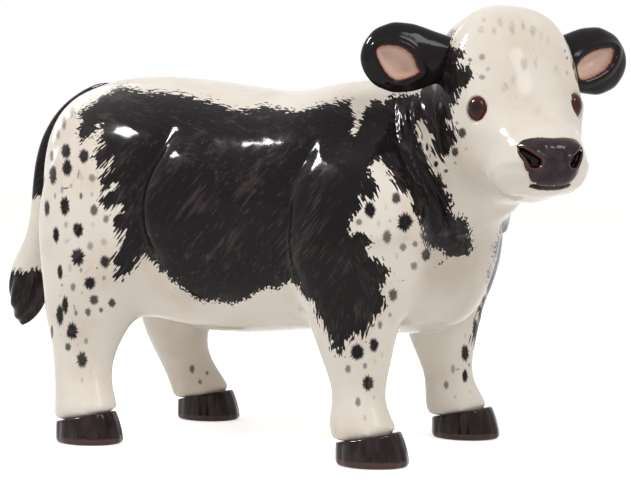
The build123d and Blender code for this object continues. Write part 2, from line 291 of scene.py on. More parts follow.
# %% [markdown]
# ## Finer squares on the head
#
# The face carries the finest forms: lips, cheeks and the rims of the eyes. Its squares are divided once
# more, so that they are half as large as on the body.

# %% The head's own axes
HEAD_MIDDLE = np.array([0.08204, -0.00958, 0.11197])
HEAD_TURN = radians(45)
HEAD_AXES = np.array([
    [cos(HEAD_TURN), -sin(HEAD_TURN), 0],
    [sin(HEAD_TURN), cos(HEAD_TURN), 0],
    [0, 0, 1],
])
# Half of the length, width and height of an egg around the head, in mm
HEAD_EGG = (46, 27, 36)


def to_head(places):
    """Places as millimetres ahead of, left of and above the head's middle."""
    return (np.asarray(places) - HEAD_MIDDLE) @ HEAD_AXES.T / MM


def from_head(offsets):
    """The way back from the head's millimetres to metres."""
    return np.asarray(offsets) * MM @ HEAD_AXES + HEAD_MIDDLE


def on_head(places, size=1.0):
    """True inside an egg around the head."""
    return ((to_head(places) / HEAD_EGG) ** 2).sum(1) < size


# %% Divide the head's squares
def refine(piece, chosen):
    """Halves the edges of the faces whose middle is chosen."""
    shape = bmesh.new()
    shape.from_mesh(piece.data)
    picked = chosen(np.array([face.calc_center_median() for face in shape.faces]))
    edges = {edge for face, take in zip(shape.faces, picked) if take for edge in face.edges}
    bmesh.ops.subdivide_edges(shape, edges=list(edges), cuts=1, use_grid_fill=True, smooth=0)
    bmesh.ops.triangulate(shape, faces=[face for face in shape.faces if len(face.verts) > 4])
    shape.to_mesh(piece.data)
    shape.free()
    piece.data.shade_smooth()


refine(skin, on_head)
smooth(skin, 2, on_head(get_places(skin)))

# %% [markdown]
# ## Which side a pixel border lands on
#
# The picture shows the calf's right side. The other side is painted with the same borders, folded over and
# drifting a little, so that the two are alike but not the same. On the head the fold goes through the middle
# of the face.


# %% Folded pixels
# How many pixels the borders drift on the left side
DRIFT = 6


def fold_body(places):
    """The pixels of places on the body, the left side folded over to the right."""
    folded = np.array(places)
    folded[:, 1] = -np.abs(folded[:, 1])
    pixels = to_pixels(folded)
    drift = DRIFT * ramp(places[:, 1] / MM, 8, 30)
    pixels[:, 0] += drift * np.sin(pixels[:, 1] / 17 + 1)
    pixels[:, 1] += drift * np.sin(pixels[:, 0] / 21)
    return pixels


def fold_head(places):
    """The pixels of places on the head, its left half folded over to its right."""
    offsets = to_head(places)
    offsets[:, 1] = -np.abs(offsets[:, 1])
    return to_pixels(from_head(offsets))


# %% Distances in the picture
def line_distance(pixels, corners):
    """Distance to an open line, on which side of it (1 or -1), and how far along it from 0 to 1."""
    corners = np.array(corners, float)
    steps = np.diff(corners, axis=0)
    lengths = np.hypot(*steps.T)
    best = np.full((3, len(pixels)), 1e9)
    start = 0
    for corner, step, length in zip(corners, steps, lengths):
        x, y = (pixels - corner).T
        share = np.clip((x * step[0] + y * step[1]) / length ** 2, 0, 1)
        gap = np.hypot(x - share * step[0], y - share * step[1])
        side = np.where(x * step[1] > y * step[0], 1, -1)
        along = (start + share * length) / lengths.sum()
        best = np.where(gap < best[0], (gap, side, along), best)
        start += length
    return best


def inside_distance(pixels, outline):
    """How far pixels lie inside a closed outline, and below 0 outside it."""
    corners = np.array([*outline, outline[0]], float)
    x, y = pixels.T
    inside = np.zeros(len(pixels), bool)
    for (ax, ay), (bx, by) in zip(corners[:-1], corners[1:]):
        if ay != by:
            crosses = (y >= min(ay, by)) & (y < max(ay, by))
            inside ^= crosses & (x < ax + (y - ay) * (bx - ax) / (by - ay))
    return line_distance(pixels, corners)[0] * np.where(inside, 1, -1)


# %% [markdown]
# ## Creases
#
# The maker pressed the barrel, the shoulder and the folds of the neck into the clay. Each crease is a line
# in the picture. Points near it sink into a groove, and the clay swells on the left hand of someone who
# follows it.

# %% Creases of the body
# Each crease: the depth and width of its groove, the swelling beside it, how far away that is highest (all
# in mm), and its line in pixels
BARREL = [
    (176, 122), (168, 136), (160, 150), (150, 164), (144, 178), (140, 192), (138, 207), (139, 222),
    (142, 238), (148, 252), (156, 264), (166, 276),
]
BODY_CREASES = {
    "barrel": (1.6, 2.0, 3.4, 11.5, BARREL),
    "haunch": (0.0, 1.0, 1.5, 9.0, BARREL[::-1]),
    "shoulder": (1.5, 2.0, 2.8, 20.0, [
        (318, 128), (312, 142), (306, 156), (296, 172), (290, 186), (287, 202), (285, 220), (284, 240),
        (285, 258), (289, 274), (296, 290),
    ]),
    "chest": (0.8, 1.6, 0.0, 1.0, [(414, 282), (405, 300), (398, 318), (394, 335)]),
    "first fold": (1.4, 0.9, 1.2, 2.2, [
        (394, 92), (395, 118), (396, 131), (399, 144), (403, 154), (409, 166), (417, 180), (426, 196),
        (434, 212), (443, 230),
    ]),
    "second fold": (1.4, 0.9, 1.1, 2.0, [
        (402, 92), (402, 118), (404, 132), (407, 145), (411, 156), (417, 167), (425, 181), (433, 197),
        (440, 213), (447, 229), (455, 248),
    ]),
    "third fold": (1.1, 0.8, 0.9, 1.8, [
        (410, 92), (411, 118), (412, 134), (416, 149), (422, 162), (430, 176), (439, 191), (448, 209),
    ]),
}
# The widest half width of the skin and the room in which it is eased in, in mm
WIDEST, EASE = 45.5, 3
NECK = [(380, 84), (440, 84), (442, 150), (474, 250), (440, 264), (398, 200)]
NECK_FOOT = 0.055


def on_neck(places):
    """True where the folds of the neck run, on both sides."""
    inside = inside_distance(fold_body(places), NECK) > 0
    return inside & (places[:, 2] > NECK_FOOT) & ~on_head(places)


def press(piece, pixels, strength, crease):
    """Presses one crease into a piece, as deep as the strength of each point."""
    depth, width, swell, reach, line = crease
    gap, side, along = line_distance(pixels, line)
    gap = gap / CREASE_PIXELS
    ends = ramp(along, 0, 0.2) * ramp(1 - along, 0, 0.2) * strength
    groove = -depth * np.exp(-((gap / width) ** 2))
    bulge = swell * (gap / reach) * np.exp(1 - gap / reach) * (side > 0)
    shift(piece, (groove + bulge) * ends)


refine(skin, on_neck)
print("faces in the skin", len(skin.data.polygons))
places = get_places(skin)
body_pixels = fold_body(places)
off_head = ramp(distances(["head_shell"], places, 3.0), 0.4, 2.0)
strength = ramp(np.abs(get_normals(skin)[:, 1]), 0.1, 0.4) * off_head
for crease in BODY_CREASES.values():
    press(skin, body_pixels, strength, crease)
smooth(skin, 2, 0.6 * off_head)

# The sides are eased in, so that the swellings stay inside the solids' width
aside = get_places(skin)[:, 1] / MM
beyond = np.maximum(np.abs(aside) - (WIDEST - EASE), 0)
shift(skin, np.sign(aside) * (EASE * np.tanh(beyond / EASE) - beyond), (0, 1, 0))
print("half width", round(np.abs(get_places(skin)[:, 1]).max() / MM, 1))

# %% [markdown]
# ## The face
#
# The eyes sit in shallow sockets, and the corner of the mouth runs back over the cheek. The eyes get pieces
# of their own, so the skin makes room for them here.

# %% Eye sockets and mouth
# Half of a socket's width and height and its depth, in mm
SOCKET_HALVES, SOCKET_DEPTH = (3.0, 3.7), 3.4
FACE_CREASES = {
    "mouth": (1.7, 0.9, 1.2, 3.2, [
        (478, 168), (483, 178), (491, 186.5), (501, 192.5), (513, 196), (524, 192.5), (532, 189),
        (548, 190.5), (560, 189), (571, 184),
    ]),
    "cheek": (0.5, 1.4, 0.3, 3.0, [(457, 150), (459, 165), (465, 178), (474, 188)]),
}
# How far each bead sits from the middle of its node: ahead, to the left and up, in mm
EYE_SHIFT = {"right": (0.5, 0.8, -0.4), "left": (1.0, -1.6, 0.5)}
EYES = {}
for hand, offset in EYE_SHIFT.items():
    EYES[hand] = middle_of(f"eye_{hand}") + np.array(offset) @ HEAD_AXES * MM
print("eyes at", {hand: to_head(place).round(1).tolist() for hand, place in EYES.items()})


def eye_axes(hand):
    """The directions out of an eye, across it and up it, as rows."""
    turn = radians(-84 if hand == "right" else -6)
    out = np.array([cos(turn), sin(turn), 0])
    return np.array([out, [-out[1], out[0], 0], [0, 0, 1]])


def socket(piece, hand):
    """Sinks the eye's socket into the skin."""
    out, across, above = ((get_places(piece) - EYES[hand]) @ eye_axes(hand).T / MM).T
    reach = np.hypot(across / SOCKET_HALVES[0], above / SOCKET_HALVES[1])
    sunk = -SOCKET_DEPTH * (1 - ramp(reach, 0.8, 1.12))
    dip = -0.25 * np.exp(-(((reach - 1.25) / 0.25) ** 2))
    shift(piece, (sunk + dip) * ramp(out, -5, -2), eye_axes(hand)[0])


places = get_places(skin)
face_pixels = fold_head(places)
on_face = on_head(places).astype(float)
for crease in FACE_CREASES.values():
    press(skin, face_pixels, on_face * ramp(places[:, 2] / MM, 70, 80), crease)
smooth(skin, 1, 0.5 * on_face)
for hand in EYES:
    socket(skin, hand)

# %% [markdown]
# ## The painted coat
#
# Two things are stored at every point of the skin, and the glaze reads them later:
#
# - `coat`: how far the point lies inside the black, in millimetres
# - `spot 0` and so on: where the point lies in the nearest spot of a layer, in radii, and its darkness
#
# Neighbouring spots go to different layers, so that no triangle lies between two spots of one layer.

# %% Borders of the black coat, in pixels
BODY_BLACK = [
    (100, 97), (108, 92), (118, 86), (125, 87), (135, 88), (141, 91), (150, 92), (160, 92), (170, 93),
    (180, 94), (190, 96), (198, 98), (210, 100), (216, 103), (222, 106), (228, 108), (236, 110), (243, 109),
    (250, 109), (262, 106), (270, 106), (278, 108), (288, 111), (296, 111), (306, 109), (316, 107),
    (326, 104), (336, 102), (345, 100), (352, 99), (351, 105), (353, 112), (356, 118), (354, 126),
    (351, 131), (357, 137), (359, 129), (361, 121), (363, 113), (366, 107), (371, 102), (378, 99),
    (383, 104), (385, 99), (396, 96), (412, 94), (440, 96), (440, 113), (424, 116), (418, 121), (418, 130),
    (420, 142), (424, 154), (430, 165), (437, 175), (443, 183), (449, 193), (452, 205), (450, 209),
    (456, 217), (460, 215), (464, 218), (468, 224), (470, 232), (471, 240), (472, 247), (470, 254),
    (468, 260), (467, 268), (464, 273), (461, 279), (457, 279), (455, 274), (452, 276), (451, 283),
    (448, 287), (443, 286), (440, 281), (438, 275), (437, 268), (440, 262), (445, 259), (450, 262),
    (445, 254), (440, 249), (433, 249), (427, 246), (422, 239), (423, 231), (419, 222), (414, 211),
    (411, 203), (408, 196), (404, 190), (399, 190), (393, 185), (391, 178), (388, 170), (383, 163),
    (378, 155), (374, 161), (368, 166), (371, 172), (369, 178), (375, 180), (379, 189), (374, 199),
    (367, 199), (362, 192), (358, 195), (361, 203), (360, 210), (355, 213), (350, 222), (349, 230),
    (349, 238), (355, 233), (362, 230), (369, 236), (371, 243), (366, 250), (370, 256), (377, 258),
    (378, 264), (384, 264), (389, 269), (390, 275), (385, 282), (381, 286), (380, 292), (384, 298),
    (386, 305), (383, 312), (376, 316), (372, 319), (371, 326), (366, 333), (361, 338), (356, 333),
    (353, 331), (352, 338), (347, 344), (343, 351), (338, 355), (333, 349), (330, 342), (326, 333),
    (324, 325), (318, 318), (316, 311), (314, 305), (309, 300), (305, 297), (300, 290), (296, 285),
    (290, 282), (284, 284), (279, 289), (272, 289), (265, 288), (258, 290), (250, 297), (244, 300),
    (238, 303), (230, 303), (222, 302), (214, 300), (208, 302), (200, 300), (193, 297), (186, 291),
    (180, 287), (172, 280), (165, 273), (158, 268), (152, 262), (147, 256), (143, 252), (140, 261),
    (134, 269), (128, 273), (122, 278), (116, 281), (114, 278), (115, 272), (118, 267), (113, 262),
    (113, 256), (118, 252), (120, 247), (119, 240), (122, 235), (125, 229), (120, 233), (114, 230),
    (112, 222), (114, 217), (119, 214), (121, 207), (115, 207), (106, 208), (102, 203), (101, 197),
    (103, 192), (108, 189), (116, 190), (118, 184), (112, 186), (103, 188), (100, 183), (101, 176),
    (104, 172), (109, 169), (112, 157), (107, 164), (99, 169), (95, 164), (93, 158), (94, 154), (99, 151),
    (104, 144), (98, 141), (104, 130), (100, 126), (92, 136), (86, 139), (81, 142), (78, 136), (79, 128),
    (81, 121), (76, 117), (82, 111), (90, 104),
]
FACE_BLACK = [
    (435, 42), (441, 37), (447, 33), (452, 28), (455, 30), (453, 37), (449, 43), (454, 47), (462, 46),
    (464, 52), (463, 58), (457, 62), (461, 67), (468, 66), (472, 70), (473, 75), (470, 79), (468, 84),
    (463, 88), (459, 92), (458, 98), (455, 103), (452, 106), (454, 112), (451, 118), (448, 122), (450, 127),
    (455, 131), (456, 138), (453, 145), (449, 150), (447, 156), (443, 160), (438, 156), (433, 150),
    (431, 144), (433, 137), (429, 130), (424, 124), (419, 118), (412, 112), (395, 108), (395, 90),
    (415, 60), (428, 45),
]
# The black of the far side, which the lens sees ahead of the chest
FAR_BLACK = [
    (514, 205), (520, 240), (506, 280), (497, 312), (488, 345), (480, 352), (473, 346), (473, 332),
    (478, 318), (481, 305), (486, 292), (489, 276), (494, 262), (494, 248), (500, 236), (502, 220),
    (507, 212),
]

# %% Spots of the coat
# Each spot: its place in the picture, its half width and half height in pixels, and its darkness
BODY_SPOTS = [
    (66, 151, 5, 8, 1), (84, 156, 5.5, 8, .85), (53, 175, 4, 10, 1), (67, 168, 5.5, 9, 1),
    (47, 208, 3, 9, .85), (65, 206, 5, 10, 1), (94, 210, 4.5, 6.5, .75), (56, 235, 3.5, 9, .9),
    (78, 230, 5.5, 8, .95), (78, 257, 7, 9.5, 1), (60, 272, 3, 8, .9), (105, 262, 5.5, 7, .85),
    (104, 242, 4, 4.5, .4), (90, 246, 4, 5, .5), (106, 219, 3.5, 5, .6), (92, 178, 4, 5, .55),
    (90, 283, 6.5, 7, .9), (73, 287, 3, 5, .6), (94, 300, 5, 6, .8), (112, 303, 4, 5, .8),
    (101, 310, 2.5, 3, .7), (88, 312, 3.5, 5, .7), (76, 313, 2, 3.5, .6), (65, 305, 3.5, 10, .9),
    (60, 315, 4, 12, .9), (52, 156, 2.5, 7, .7), (62, 190, 2, 5, .45), (71, 186, 2, 3, .4),
    (80, 176, 3, 5, .3), (81, 196, 2, 4, .7), (55, 196, 1.5, 4, .5), (92, 194, 2.5, 3, .35),
    (66, 225, 2.5, 4, .45), (93, 225, 3, 4, .25), (66, 241, 3, 4, .25), (70, 268, 2.5, 5, .35),
    (81, 270, 2, 3, .5), (104, 278, 2.5, 3, .5), (97, 268, 1.2, 1.2, .6), (62, 285, 1.5, 2, .5),
    (82, 293, 1.5, 2, .4), (72, 331, 6, 9, 1), (52, 332, 1.5, 8, .8), (68, 347, 3.5, 5, .75),
    (86, 341, 2.5, 4, .5), (78, 345, 1.5, 3, .25), (82, 360, 5.5, 9, .85), (82, 380, 2, 4, .35),
    (90, 371, 1.5, 2, .25), (85, 323, 2, 3, .15), (61, 335, 1.5, 2, .2), (72, 110, 3, 8, .5),
    (64, 122, 3, 9, .6), (58, 134, 2.5, 7, .5),
    (370, 210, 6, 9, 1), (396, 198, 5, 7, .8), (405, 222, 8, 10, 1), (387, 237, 5, 8, .7),
    (359, 222, 4, 4, .6), (403, 247, 4, 5, .6), (415, 244, 3, 4, .6), (426, 255, 5, 7, .9),
    (414, 266, 4, 5, .6), (427, 276, 2.5, 4, .35), (393, 295, 5, 7, .75), (390, 315, 2, 3, .5),
    (380, 325, 2.5, 5, .6), (455, 298, 3, 6, .5), (379, 223, 2.5, 4, .3), (386, 207, 2, 5, .25),
    (390, 221, 1.5, 2, .4), (397, 256, 2, 5, .25), (357, 352, 7, 9, 1), (374, 345, 5, 8, .9),
    (348, 369, 3.5, 5, .6), (365, 366, 2.5, 4, .55), (375, 361, 2, 4, .2), (382, 355, 1.5, 3.5, .3),
    (368, 383, 6, 8, .95), (358, 402, 3.5, 5.5, .6), (374, 397, 2, 3, .3), (365, 418, 2, 4, .35),
    (345, 357, .8, .8, .9), (366, 342, .8, .8, .9),
]
LEFT_LEG_SPOTS = [
    (192, 369, 3, 5, .7), (207, 373, 2, 2.5, .6), (200, 382, 2.5, 3, .6), (465, 353, 4, 9, .95),
    (453, 369, 2.5, 5.5, .5), (465, 376, 3, 7, .95), (469, 365, 1, 2.5, .6), (446, 385, 3, 5, .6),
    (455, 397, 2.5, 2, .25), (470, 392, 1.5, 2, .25), (465, 336, 2, 3.5, .2), (475, 329, 2.5, 12, .8),
]
FACE_SPOTS = [
    (462, 133, 4.5, 6, .8), (455, 152, 4, 5, .8), (466, 149, 2, 2, .35), (455, 163, 2, 2.5, .4),
    (470, 60, 2.5, 2.5, .6), (457, 123, 2, 2.5, .5), (482, 57, 4, 4, .5), (488, 69, 3, 3, .35),
    (482, 77, 4, 3, .5), (500, 22, 4, 7, .25), (512, 28, 4, 8, .3), (523, 26, 3, 7, .25),
    (533, 31, 4, 7, .3), (541, 35, 3, 6, .2), (548, 40, 3, 6, .2), (494, 31, 3, 6, .25),
    (481, 30, 4, 5, .25), (484, 20, 3, 4, .2), (524, 64, 5, 9, .3), (536, 62, 3, 8, .2),
    (505, 87, 5, 6, .25), (513, 80, 3, 6, .25), (556, 69, 3, 7, .2), (538, 112, 5, 6, .12),
    (565, 51, 1.5, 2, .5), (567, 58, 1.5, 2, .6), (574, 65, 2, 6, .9), (577, 75, 2, 7, .9),
    (567, 73, 1.5, 3, .4),
]
JAW_SPOTS = [
    (427, 147, 1.6, 4.5, .9), (422, 137, 1.2, 4, .7), (436, 164, 2.6, 3.4, .85), (446, 171, 2.6, 2.2, .75),
    (430, 156, 1.2, 3, .5), (440, 178, 2, 1.4, .4),
]

# %% Deal the spots out to layers
# How many radii of a spot its ragged edge takes up
SPOT_REACH = 1.25


def clear_of(spot, other):
    """True if two spots are far enough apart to share a layer."""
    gaps = (abs(spot[i] - other[i]) - SPOT_REACH * (spot[i + 2] + other[i + 2]) for i in (0, 1))
    return max(gaps) > 12


def dealt(spots):
    """The spots in layers, each in the first layer where it is clear of the others."""
    layers = []
    for spot in sorted(spots, key=lambda spot: -spot[3]):
        for layer in layers:
            if all(clear_of(spot, other) for other in layer):
                layer.append(spot)
                break
        else:
            layers.append([spot])
    return layers


def spot_values(pixels, spots, strength):
    """Each pixel's place in its nearest spot, in radii, and how dark the spot is there."""
    gap = np.full(len(pixels), 1e9)
    values = np.zeros((len(pixels), 3))
    for x, y, half_width, half_height, darkness in spots:
        across, down = pixels[:, 0] - x, pixels[:, 1] - y
        beyond = np.maximum(np.abs(across) - SPOT_REACH * half_width, np.abs(down) - SPOT_REACH * half_height)
        closer = beyond < gap
        gap[closer] = beyond[closer]
        found = np.stack([across / half_width, down / half_height, darkness * strength * (beyond < 4)], 1)
        values[closer] = found[closer]
    return values


def keep(piece, name, values):
    """Stores a number or a vector at each point of a piece."""
    values = np.asarray(values, dtype=np.float32)
    kind, field = ("FLOAT", "value") if values.ndim == 1 else ("FLOAT_VECTOR", "vector")
    piece.data.attributes.new(name, kind, "POINT").data.foreach_set(field, values.ravel())


# %% Paint the skin
places = get_places(skin)
sight = np.array(LENS_PLACE) - places
facing = (sight * get_normals(skin)).sum(1) / np.linalg.norm(sight, axis=1)
high = places[:, 2] / MM
wide = np.abs(places[:, 1]) / MM
head_part = distances(["head_shell"], places, 6.0) < distances(["torso_shell"], places, 6.0)
head_part |= on_head(places, 0.8)
body_pixels = fold_body(places)
face_pixels = fold_head(places)
true_pixels = to_pixels(places)
face_black = inside_distance(face_pixels, FACE_BLACK)
black = np.where(head_part, face_black, inside_distance(body_pixels, BODY_BLACK)) / COAT_PIXELS

# The inner sides of the legs stay white, from where the legs leave the belly
legs_only = ramp(-high, -64, -56)
inner = (wide - 31.5) * 0.8
black = np.where(legs_only > 0, np.minimum(black, inner + 12 * (1 - legs_only)), black)
far_black = np.where(places[:, 1] > 0.004, inside_distance(true_pixels, FAR_BLACK) / COAT_PIXELS, -9)
keep(skin, "coat", np.where(head_part, black, np.maximum(black, far_black)))

# What the lens sees of the left legs and of the face takes its spots straight from the picture
seen_left = (places[:, 1] > 0) & (high < 66) & (facing > 0.1)
seen_face = np.where((facing > 0.05)[:, None], true_pixels, face_pixels)
outer = np.where(high < 60, ramp(wide, 29, 33), 1.0)
layers = dealt(BODY_SPOTS + LEFT_LEG_SPOTS + FACE_SPOTS + JAW_SPOTS)
for count, layer in enumerate(layers):
    own = [spot for spot in layer if spot in LEFT_LEG_SPOTS]
    face = [spot for spot in layer if spot in FACE_SPOTS + JAW_SPOTS]
    rest = [spot for spot in layer if spot not in LEFT_LEG_SPOTS + FACE_SPOTS]
    values = spot_values(body_pixels, rest, outer)
    values[head_part] = spot_values(seen_face, face, 1.0)[head_part]
    values[seen_left] = spot_values(true_pixels, own, ramp(facing, 0.15, 0.3))[seen_left]
    keep(skin, f"spot {count}", values)
print("spot layers", len(layers))

# %% [markdown]
# ## Shader helpers
#
# Each glaze is a Principled surface that shared node groups feed. `add` puts one node into a tree and joins
# its inputs, and `calc` does the same for a sum.


# %% Nodes in one line
def add(tree, kind, inputs=None, **settings):
    """The outputs of a new shader node, fed with plain values or other nodes' outputs."""
    made = tree.nodes.new("ShaderNode" + kind)
    for name, value in settings.items():
        setattr(made, name, value)
    for socket, value in (inputs or {}).items():
        if isinstance(value, bpy.types.NodeSocket):
            tree.links.new(value, made.inputs[socket])
        else:
            made.inputs[socket].default_value = value
    return made.outputs


def calc(tree, operation, *values):
    """The result of one step of arithmetic."""
    return add(tree, "Math", dict(enumerate(values)), operation=operation)[0]


def times(tree, first, second):
    """The product of two values."""
    return calc(tree, "MULTIPLY", first, second)


def calc_vector(tree, operation, *values):
    """The vector that one step of arithmetic gives."""
    return add(tree, "VectorMath", dict(enumerate(values)), operation=operation)[0]


def step_up(tree, value, low, high):
    """0 below low, 1 above high and smooth between them."""
    inputs = {"Value": value, "From Min": low, "From Max": high}
    return add(tree, "MapRange", inputs, interpolation_type="SMOOTHSTEP")["Result"]


def mixed(tree, share, first, second):
    """A mix of two colours."""
    return add(tree, "Mix", {0: share, 6: first, 7: second}, data_type="RGBA")[2]


def stored(tree, name, output="Fac"):
    """What a mesh stores under a name."""
    return add(tree, "Attribute", attribute_name=name)[output]


def place_on(tree):
    """The place on the piece, in metres."""
    return add(tree, "TexCoord")["Object"]


def noise(tree, place, scale, detail):
    """Smooth noise around a half."""
    return add(tree, "TexNoise", {"Vector": place, "Scale": scale, "Detail": detail})[0]


def colour(red, green, blue):
    """A linear colour from screen values between 0 and 255."""
    return (*(((part / 255 + 0.055) / 1.055) ** 2.4 for part in (red, green, blue)), 1)


def new_group(name, inputs, outputs):
    """An empty shader group with named sockets, and its two end nodes."""
    tree = bpy.data.node_groups.new(name, "ShaderNodeTree")
    for way, sockets in (("INPUT", inputs), ("OUTPUT", outputs)):
        for label, kind in sockets.items():
            tree.interface.new_socket(label, in_out=way, socket_type="NodeSocket" + kind)
    print("group", name)
    return tree, tree.nodes.new("NodeGroupInput").outputs, tree.nodes.new("NodeGroupOutput").inputs


def use(tree, shared, inputs=None):
    """The outputs of a shared group, put into a tree."""
    return add(tree, "Group", inputs, node_tree=shared)


# %% [markdown]
# ## Brush strokes
#
# The coat is painted with a fine dry brush that follows the hair: nearly level along the back, slanting over
# the flank and the neck, and hanging down the legs. A stroke is noise that is stretched along one of these
# slopes, with values around zero.

# %% Strokes group
# The slope of the hair in degrees, seen from the calf's right
SLOPES = {"flank": 50, "back": -22, "neck": -60, "legs": 82}
# How often a stroke repeats in a metre, across it and along it, and the detail of its noise
STROKES = {"Fine": (1400, 150, 1.0), "Wide": (520, 95, 2.0), "Patch": (150, 50, 3.0)}

strokes, _, result = new_group("brush strokes", {}, dict.fromkeys(STROKES, "Float"))
place = place_on(strokes)
parts = add(strokes, "SeparateXYZ", {0: place})
shares = {
    "back": step_up(strokes, parts["Z"], 0.098, 0.108),
    "neck": step_up(strokes, parts["X"], 0.035, 0.055),
    "legs": step_up(strokes, parts["Z"], 0.06, 0.045),
}
for label, (across, along, detail) in STROKES.items():
    kinds = {}
    for part, slope in SLOPES.items():
        inputs = {"Vector": place, "Angle": radians(slope)}
        turned = add(strokes, "VectorRotate", inputs, rotation_type="Y_AXIS")[0]
        long = calc_vector(strokes, "MULTIPLY", turned, (along, across, across))
        kinds[part] = calc(strokes, "SUBTRACT", noise(strokes, long, 1.0, detail), 0.5)
    blend = kinds["flank"]
    for part, share in shares.items():
        inputs = {0: share, 2: blend, 3: kinds[part]}
        blend = add(strokes, "Mix", inputs, data_type="FLOAT")[0]
    strokes.links.new(blend, result[label])

# %% Spot group
dots, given, result = new_group("painted spot", {"Spot": "Vector"}, {"Mask": "Float"})
parts = add(dots, "SeparateXYZ", {0: given["Spot"]})
darkness = parts["Z"]
flat = add(dots, "CombineXYZ", {0: parts["X"], 1: parts["Y"]})[0]
reach = add(dots, "VectorMath", {0: flat}, operation="LENGTH")["Value"]
# The edge is ragged by noise that changes around the spot, and from one spot to another
aim = calc_vector(dots, "MULTIPLY", calc_vector(dots, "NORMALIZE", flat), (3.4, 3.4, 3.4))
around = calc_vector(dots, "MULTIPLY_ADD", place_on(dots), (70, 70, 70), aim)
spikes = calc(dots, "SUBTRACT", noise(dots, around, 2.2, 0.5), 0.5)
ragged = calc(dots, "MULTIPLY_ADD", spikes, 0.85, reach)
# The darker a spot is, the harder is its edge and the less do the strokes break it up
inside = step_up(dots, ragged, 1.08, calc(dots, "MULTIPLY_ADD", darkness, 0.62, 0.1))
level = calc(dots, "MINIMUM", times(dots, darkness, 1.15), 1.0)
streaky = step_up(dots, use(dots, strokes)["Fine"], -0.12, 0.1)
streaky = calc(dots, "MAXIMUM", times(dots, darkness, 1.8), streaky)
level = times(dots, level, calc(dots, "MINIMUM", streaky, 1.0))
dots.links.new(times(dots, inside, level), result["Mask"])

# %% Glaze group
outputs = {"Roughness": "Float", "Normal": "Vector"}
sheen, given, result = new_group("clear glaze", {"Waves": "Float"}, outputs)
place = place_on(sheen)
pits = noise(sheen, place, 1500.0, 2.0)
height = calc(sheen, "MULTIPLY_ADD", pits, 0.06, noise(sheen, place, 170.0, 1.0))
bump = add(sheen, "Bump", {"Strength": given["Waves"], "Distance": 0.0006, "Height": height})
dull = add(sheen, "MapRange", {"Value": pits, "To Min": 0.05, "To Max": 0.16})
sheen.links.new(bump[0], result["Normal"])
sheen.links.new(dull[0], result["Roughness"])


# %% A glazed surface
def glazed(name, waves=0.25, level=0.1):
    """A material under the clear glaze, its tree, and the socket for its colour."""
    made = bpy.data.materials.new(name)
    made.use_nodes = True
    tree = made.node_tree
    surface = tree.nodes["Principled BSDF"].inputs
    clear = use(tree, sheen, {"Waves": waves})
    tree.links.new(clear["Roughness"], surface["Roughness"])
    tree.links.new(clear["Normal"], surface["Normal"])
    surface["Specular IOR Level"].default_value = level
    return made, tree, surface["Base Color"]


def brushed(tree, value, **factors):
    """A value that brush strokes push up and down, each kind by its factor."""
    brush = use(tree, strokes)
    for kind, factor in factors.items():
        value = calc(tree, "MULTIPLY_ADD", brush[kind], factor, value)
    return value


CREAM, SHADE = colour(244, 237, 228), colour(234, 223, 210)
# The lighter colour on the black serves both brush strokes and painted reflection
SOOT, LIGHT_STROKE_AND_REFLECTION = colour(30, 26, 27), colour(64, 55, 57)

# %% Coat colour group
coat, given, result = new_group("coat colour", {"Black": "Float"}, {"Color": "Color"})
fine = use(coat, strokes)["Fine"]
clouds = noise(coat, place_on(coat), 55.0, 2.0)
cream = mixed(coat, step_up(coat, clouds, 0.35, 0.75), CREAM, SHADE)
hairs = times(coat, step_up(coat, fine, 0.16, 0.26), step_up(coat, clouds, 0.5, 0.6))
cream = mixed(coat, times(coat, hairs, 0.25), cream, colour(170, 160, 152))
# The black gets lighter brush strokes and painted reflection patches from one noise, then painted glints
# along the fine strokes
strokes_and_reflection = brushed(coat, 0.0, Patch=1.0, Wide=0.7, Fine=0.5)
dark = mixed(coat, step_up(coat, strokes_and_reflection, -0.02, 0.32), SOOT, LIGHT_STROKE_AND_REFLECTION)
glints = times(coat, step_up(coat, fine, 0.1, 0.3), 0.5)
dark = mixed(coat, glints, dark, colour(86, 74, 76))
coat.links.new(mixed(coat, given["Black"], cream, dark), result["Color"])

# %% Coat material
hide, tree, paint = glazed("painted coat")
black_mask = step_up(tree, brushed(tree, stored(tree, "coat"), Fine=6.5, Wide=2.0), -0.2, 0.15)
for count in range(len(layers)):
    spot = use(tree, dots, {"Spot": stored(tree, f"spot {count}", "Vector")})
    black_mask = calc(tree, "MAXIMUM", black_mask, spot["Mask"])
painted = use(tree, coat, {"Black": black_mask})["Color"]
painted = mixed(tree, step_up(tree, stored(tree, "mouth"), 0.85, 0.5), painted, colour(40, 18, 14))
tree.links.new(painted, paint)
skin.data.materials.append(hide)
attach(skin, "root")
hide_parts(*CASTINGS)

# %% [markdown]
# ## The ears
#
# An ear starts as a sphere whose rings are moved out along the ear and scaled to its ovals. Then its front
# is pressed in, as far as the picture's border of the bowl, and the rim swells. The bowl is a dusty pink
# with a reddish edge, and the rim and the back are black.

# %% Shape the ears
EAR_LENGTH, EAR_HEIGHT, EAR_THICKNESS = 29.0, 22.0, 10.5
# The root ahead of, beside and above the head's middle in mm, and the sweep back and the lag in degrees
EAR_ROOT, EAR_RISE, EAR_SWEEP, EAR_LAG = (-3.0, 17.0), 14.0, 8.0, 4.0
BOWL_DEPTH, RIM_SWELL = 4.6, 0.75
